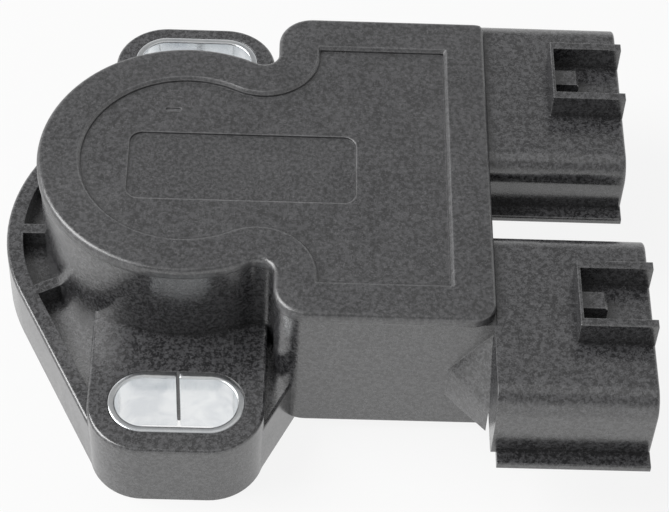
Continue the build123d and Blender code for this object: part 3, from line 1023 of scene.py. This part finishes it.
@dataclass
class SlotSleeves(Assembly):
    """Two rolled steel sleeves that line the bolt slots, with their seams towards the rotor."""

    slot_spacing: float = 46.0
    slot_length: float = 12.1
    slot_width: float = 5.8
    slot_sides: int = 48
    wall: float = 0.75
    height: float = 8.55
    seam: float = 0.3
    corner: float = 0.16
    corner_steps: int = 3
    corner_angle: float = 50.0

    def build(self) -> None:
        """Roll the front sleeve and copy it to the rear slot."""
        front = self.model_sleeve("front_sleeve_rolled")
        rear = copy_piece(front, "rear_sleeve_rolled", Matrix.Rotation(pi, 4, "Z"))
        self.keep(front, SLEEVE_ZINC, Body.CASE)
        self.keep(rear, SLEEVE_ZINC, Body.CASE)
        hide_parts("front_slot_sleeve")
        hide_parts("rear_slot_sleeve")
        self.dress_nodes(SLEEVE_ZINC, "front_slot_sleeve", "rear_slot_sleeve")

    def model_sleeve(self, name: str) -> Piece:
        """Draw a slot, raise its wall, open the seam, thicken it and break its edges.

        Args:
            name: Name of the piece.

        Returns:
            The sleeve in the front slot.
        """
        middle = -self.slot_spacing / 2
        piece = start_piece(
            name,
            bpy.ops.mesh.primitive_circle_add,
            vertices=self.slot_sides,
            radius=self.slot_width / 2 * MM,
            location=(0, middle * MM, 0),
            rotation=(0, 0, pi / self.slot_sides),
        )
        bpy.ops.object.mode_set(mode="EDIT")
        stretch = (self.slot_length - self.slot_width) / 2 * MM
        select_points(piece, lambda p: p.x > 0)
        bpy.ops.transform.translate(value=(stretch, 0, 0))
        select_points(piece, lambda p: p.x < 0)
        bpy.ops.transform.translate(value=(-stretch, 0, 0))
        bpy.ops.mesh.select_all(action="SELECT")
        bpy.ops.mesh.extrude_region_move(TRANSFORM_OT_translate={"value": (0, 0, self.height * MM)})
        for side in (-1, 1):
            bpy.ops.mesh.select_all(action="SELECT")
            bpy.ops.mesh.bisect(plane_co=(side * self.seam / 2 * MM, 0, 0), plane_no=(1, 0, 0))
        select_points(piece, lambda p: abs(p.x) < self.seam and p.y > middle)
        bpy.ops.mesh.delete(type="ONLY_FACE")
        bpy.ops.mesh.select_all(action="SELECT")
        bpy.ops.mesh.normals_make_consistent(inside=False)
        bpy.ops.object.mode_set(mode="OBJECT")
        thicken = piece.modifiers.new("wall", "SOLIDIFY")
        thicken.thickness = self.wall * MM
        thicken.offset = 1.0
        thicken.use_even_offset = True
        bpy.ops.object.modifier_apply(modifier=thicken.name)
        broken = piece.modifiers.new("edges", "BEVEL")
        broken.width = self.corner * MM
        broken.segments = self.corner_steps
        broken.limit_method = "ANGLE"
        broken.angle_limit = radians(self.corner_angle)
        bpy.ops.object.modifier_apply(modifier=broken.name)
        finish_mesh(piece)
        return piece


@dataclass
class RotorDrive(Assembly):
    """The rotor and what turns, guides and returns it."""

    coil_radius: float = 9.65
    coil_level: float = 6.7
    coil_pitch: float = 1.1
    coil_turns: float = 3.25
    turn_steps: int = 44
    wire: float = 0.8
    wire_sides: int = 14
    wire_smooth: float = 40.0
    end_reach: float = 0.52
    bend: float = 0.8
    bend_steps: int = 6
    foot_low: float = 4.7
    foot_high: float = 12.3

    def build(self) -> None:
        """Dress the rotor's nodes and wind the return spring."""
        self.dress_nodes(ROTOR_ACETAL, "rotor")
        self.dress_nodes(BUSH_BRONZE, "rotor_bush")
        self.dress_nodes(SPRING_STEEL, "thrust_washer", "retaining_ring", "return_spring")
        self.dress_nodes(WIPER_ALLOY, "position_wiper", "switch_wiper")
        spring = self.model_spring("return_spring_wound")
        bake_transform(spring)
        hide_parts("return_spring")
        self.keep(spring, SPRING_STEEL, None)

    def model_spring(self, name: str) -> Piece:
        """Wind round wire into the torsion spring, with one foot down and one foot up.

        Args:
            name: Name of the piece.

        Returns:
            The spring at rest.
        """
        rise = self.coil_pitch * self.coil_turns
        top = self.coil_level + rise
        piece = start_piece(
            name,
            bpy.ops.mesh.primitive_circle_add,
            vertices=self.wire_sides,
            radius=self.wire / 2 * MM,
            location=(self.coil_radius * MM, 0, self.coil_level * MM),
            rotation=(pi / 2, 0, 0),
        )
        coil = piece.modifiers.new("coil", "SCREW")
        coil.axis = "Z"
        coil.angle = 2 * pi * self.coil_turns
        coil.screw_offset = rise * MM
        coil.steps = int(self.turn_steps * self.coil_turns)
        coil.render_steps = coil.steps
        coil.use_merge_vertices = False
        bpy.ops.object.modifier_apply(modifier=coil.name)
        ends = (
            (Vector((self.coil_radius, 0, self.coil_level)), (1, 0, 0), -self.bend, self.foot_low),
            (Vector((0, self.coil_radius, top)), (0, 1, 0), self.bend, self.foot_high),
        )
        bpy.ops.object.mode_set(mode="EDIT")
        for end, axis, lift, level in ends:
            select_points(piece, lambda p: (p - end).length < self.end_reach * self.wire)
            centre = end + Vector((0, 0, lift))
            bpy.ops.mesh.spin(steps=self.bend_steps, angle=pi / 2, center=centre * MM, axis=axis)
            foot = (0, 0, (level - centre.z) * MM)
            bpy.ops.mesh.extrude_region_move(TRANSFORM_OT_translate={"value": foot})
            bpy.ops.mesh.edge_face_add()
        bpy.ops.object.mode_set(mode="OBJECT")
        finish_mesh(piece, self.wire_smooth)
        return piece


@dataclass
class SensingBoard(Assembly):
    """The track board, its printed arcs, and the solder round the terminals' legs."""

    board_top: float = 16.0
    leg_x: float = 22.77
    leg_rows: tuple[float, ...] = (7.5, 10.5, 13.5, -13.5, -10.5, -7.5)
    solder_radius: float = 1.05
    solder_sides: int = 24
    solder_height: float = 0.5
    solder_steps: tuple[Pair, ...] = ((0.08, 0.97), (0.17, 0.84), (0.3, 0.84), (0.45, 0.92))
    solder_smooth: float = 45.0

    def build(self) -> None:
        """Dress the board and its tracks and solder the six legs."""
        self.dress_nodes(BOARD_LAMINATE, "track_board")
        self.dress_nodes(CARBON_INK, "resistor_track")
        self.dress_nodes(
            SILVER_INK, "collector_track", "switch_common_track", "idle_contact", "full_throttle_contact"
        )
        first = self.model_joint("solder_joint_1")
        self.keep(first, TERMINAL_TIN, Body.CASE)
        for number, row in enumerate(self.leg_rows[1:], start=2):
            move = Matrix.Translation((0, (row - self.leg_rows[0]) * MM, 0))
            self.keep(copy_piece(first, f"solder_joint_{number}", move), TERMINAL_TIN, Body.CASE)

    def model_joint(self, name: str) -> Piece:
        """Model a hollow-sided cone of solder that climbs a leg.

        Args:
            name: Name of the piece.

        Returns:
            The joint round the first leg.
        """
        centre = Vector((self.leg_x, self.leg_rows[0], self.board_top)) * MM
        piece = start_piece(
            name,
            bpy.ops.mesh.primitive_circle_add,
            vertices=self.solder_sides,
            radius=self.solder_radius * MM,
            fill_type="NGON",
            location=centre,
        )
        bpy.ops.object.mode_set(mode="EDIT")
        draw_out(self.solder_steps, self.solder_height, centre)
        bpy.ops.object.mode_set(mode="OBJECT")
        finish_mesh(piece, self.solder_smooth)
        return piece


@dataclass
class Terminals(Assembly):
    """The moulded-in blades of both sockets."""

    sockets: tuple[str, ...] = ("position", "switch")
    blades: int = 3

    def build(self) -> None:
        """Dress every blade."""
        for socket in self.sockets:
            for number in range(1, self.blades + 1):
                self.dress_nodes(TERMINAL_TIN, f"{socket}_terminal_{number}")


@dataclass
class Seals(Assembly):
    """The lip ring on the rotor and the round ring in the mounting face."""

    ring_radius: float = 12.15
    ring_sides: int = 112
    ring_smooth: float = 60.0
    section: float = 1.8
    section_sides: int = 20
    flash: float = 0.05
    flash_width: float = 0.06
    flash_steps: int = 2

    def build(self) -> None:
        """Dress the lip ring and mould the mounting ring."""
        self.dress_nodes(SEAL_NITRILE, "rotor_seal", "mounting_seal")
        ring = self.model_ring("mounting_ring_moulded")
        self.keep(ring, SEAL_NITRILE, Body.CASE)
        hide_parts("mounting_seal")

    def select_joint(self, piece: Piece, reach: float) -> None:
        """Select the line that the mould's joint leaves round the ring.

        Args:
            piece: The ring, in edit mode.
            reach: Distance of the line from the axis.
        """
        level = self.section / 2
        select_points(
            piece, lambda p: abs(p.z - level) < NEAR and abs(hypot(p.x, p.y) - reach) < 2 * NEAR
        )

    def model_ring(self, name: str) -> Piece:
        """Model a round-section ring with the fine flash of its mould's joint.

        Args:
            name: Name of the piece.

        Returns:
            The ring in its groove.
        """
        half = self.section / 2
        piece = start_piece(
            name,
            bpy.ops.mesh.primitive_torus_add,
            major_radius=self.ring_radius * MM,
            minor_radius=half * MM,
            major_segments=self.ring_sides,
            minor_segments=self.section_sides,
            location=(0, 0, half * MM),
        )
        bpy.ops.object.mode_set(mode="EDIT")
        for side in (-1, 1):
            reach = self.ring_radius + side * half
            self.select_joint(piece, reach)
            bpy.ops.mesh.bevel(offset=self.flash_width * MM, segments=self.flash_steps, affect="EDGES")
            self.select_joint(piece, reach)
            swell = 1 + side * self.flash / reach
            bpy.ops.transform.resize(value=(swell, swell, 1), center_override=(0, 0, half * MM))
        bpy.ops.object.mode_set(mode="OBJECT")
        finish_mesh(piece, self.ring_smooth)
        return piece


@dataclass
class Studio:
    """Pale floor, white surroundings, a soft key lamp, a weak lamp overhead and the camera."""

    floor_size: float = 4000.0
    floor_gap: float = 0.02
    floor_colour: str = "#efefee"
    floor_white: float = 0.88
    ambient: float = 0.23
    ceiling: float = 0.35
    ceiling_band: Pair = (0.2, 0.7)
    key_azimuth: float = 178.0
    key_elevation: float = 48.0
    key_distance: float = 620.0
    key_size: float = 420.0
    key_power: float = 3.2
    top_place: tuple[float, float, float] = (0.0, 60.0, 700.0)
    top_size: float = 600.0
    top_power: float = 0.3
    camera_place: tuple[float, float, float] = (9.417, -149.896, 191.469)
    camera_azimuth: float = -2.392
    camera_elevation: float = 51.4155
    camera_roll: float = 3.4361
    camera_lens: float = 121.224
    camera_sensor: float = 36.0
    camera_clip: Pair = (5.0, 20000.0)

    def build(self) -> None:
        """Set the stage, light it and place the camera."""
        bpy.context.scene.view_settings.view_transform = "Standard"
        self.lay_floor()
        self.paint_surroundings()
        self.hang_lamps()
        self.place_camera()

    def background_rays(self, tree: Tree) -> Socket:
        """Add the test for rays that should see the plain white background.

        Args:
            tree: Node tree of the floor or the world.

        Returns:
            Socket that is 1 for camera, glossy and transmission rays.
        """
        rays = add_node(tree, "LightPath").node.outputs
        seen = add_node(
            tree, "Math", {0: rays["Is Camera Ray"], 1: rays["Is Glossy Ray"]}, operation="MAXIMUM"
        )
        return add_node(tree, "Math", {0: seen, 1: rays["Is Transmission Ray"]}, operation="MAXIMUM")

    def lay_floor(self) -> None:
        """Lay the floor just under the mounting face."""
        floor = start_piece(
            "floor",
            bpy.ops.mesh.primitive_plane_add,
            size=self.floor_size * MM,
            location=(0, 0, -self.floor_gap * MM),
        )
        # Matt white paper: a plain pale ground that shows as white and keeps the object's shadow
        paper = bpy.data.materials.new("matt_white_paper")
        paper.use_nodes = True
        tree = paper.node_tree
        tree.nodes.remove(tree.nodes["Principled BSDF"])
        lit = add_node(tree, "BsdfDiffuse", {"Color": linear(self.floor_colour)})
        white = add_node(tree, "Emission", {"Strength": 1.0})
        share = add_node(
            tree, "Math", {0: self.background_rays(tree), 1: self.floor_white}, operation="MULTIPLY"
        )
        mixed = add_node(tree, "MixShader", {0: share, 1: lit, 2: white})
        set_inputs(tree, tree.nodes["Material Output"], {"Surface": mixed})
        floor.data.materials.append(paper)

    def paint_surroundings(self) -> None:
        """Surround the stage with even light, seen as white walls under a grey ceiling."""
        world = bpy.data.worlds.new("white_surroundings")
        world.use_nodes = True
        bpy.context.scene.world = world
        tree = world.node_tree
        tree.nodes.remove(tree.nodes["Background"])
        soft = add_node(tree, "Background", {"Color": (1, 1, 1, 1), "Strength": self.ambient})
        facing = add_node(tree, "TexCoord", out="Generated")
        height = add_node(tree, "SeparateXYZ", {"Vector": facing}, out="Z")
        walls = add_node(
            tree,
            "MapRange",
            {"Value": height, "To Min": 1.0, "To Max": self.ceiling, **read_band(self.ceiling_band)},
        )
        white = add_node(tree, "Background", {"Color": (1, 1, 1, 1), "Strength": walls})
        mixed = add_node(tree, "MixShader", {0: self.background_rays(tree), 1: soft, 2: white})
        set_inputs(tree, tree.nodes["World Output"], {"Surface": mixed})

    def hang_lamps(self) -> None:
        """Hang the key lamp high at the left and a weak one overhead."""
        azimuth, elevation = radians(self.key_azimuth), radians(self.key_elevation)
        towards = Vector((cos(azimuth) * cos(elevation), sin(azimuth) * cos(elevation), sin(elevation)))
        self.hang_lamp("key_lamp", towards * self.key_distance, self.key_size, self.key_power)
        self.hang_lamp("top_lamp", Vector(self.top_place), self.top_size, self.top_power)

    def hang_lamp(self, name: str, place: Vector, size: float, power: float) -> None:
        """Hang one square soft lamp that faces the object.

        Args:
            name: Name of the lamp.
            place: Where it hangs, in millimetres.
            size: Width of its face, in millimetres.
            power: Its power in watts.
        """
        light = bpy.data.lights.new(name, "AREA")
        light.size = size * MM
        light.energy = power
        lamp = bpy.data.objects.new(name, light)
        lamp.location = place * MM
        lamp.rotation_euler = place.to_track_quat("Z", "Y").to_euler()
        bpy.context.collection.objects.link(lamp)

    def place_camera(self) -> None:
        """Place the camera at the photograph's viewing angle."""
        azimuth, elevation, roll = map(
            radians, (self.camera_azimuth, self.camera_elevation, self.camera_roll)
        )
        back = Vector((sin(azimuth) * cos(elevation), -cos(azimuth) * cos(elevation), sin(elevation)))
        right = Vector((cos(azimuth), sin(azimuth), 0))
        above = back.cross(right)
        across = right * cos(roll) + above * sin(roll)
        upward = above * cos(roll) - right * sin(roll)
        lens = bpy.data.cameras.new("camera")
        lens.lens = self.camera_lens
        lens.sensor_width = self.camera_sensor
        lens.clip_start, lens.clip_end = (distance * MM for distance in self.camera_clip)
        camera = bpy.data.objects.new("camera", lens)
        camera.matrix_world = Matrix.LocRotScale(
            Vector(self.camera_place) * MM, Matrix((across, upward, back)).transposed(), None
        )
        bpy.context.collection.objects.link(camera)
        bpy.context.scene.camera = camera


def main() -> None:
    """Build the sub-assemblies in order, report their pieces, then set up the studio."""
    logging.basicConfig(level=logging.INFO, format="%(message)s")
    for assembly in (
        HousingMoulding(),
        CoverLid(),
        SlotSleeves(),
        RotorDrive(),
        SensingBoard(),
        Terminals(),
        Seals(),
    ):
        assembly.build()
        for piece in assembly.pieces:
            LOG.info("%s: %s, %d faces", piece.name, piece.active_material.name, len(piece.data.polygons))
    Studio().build()


if __name__ == "__main__":
    main()
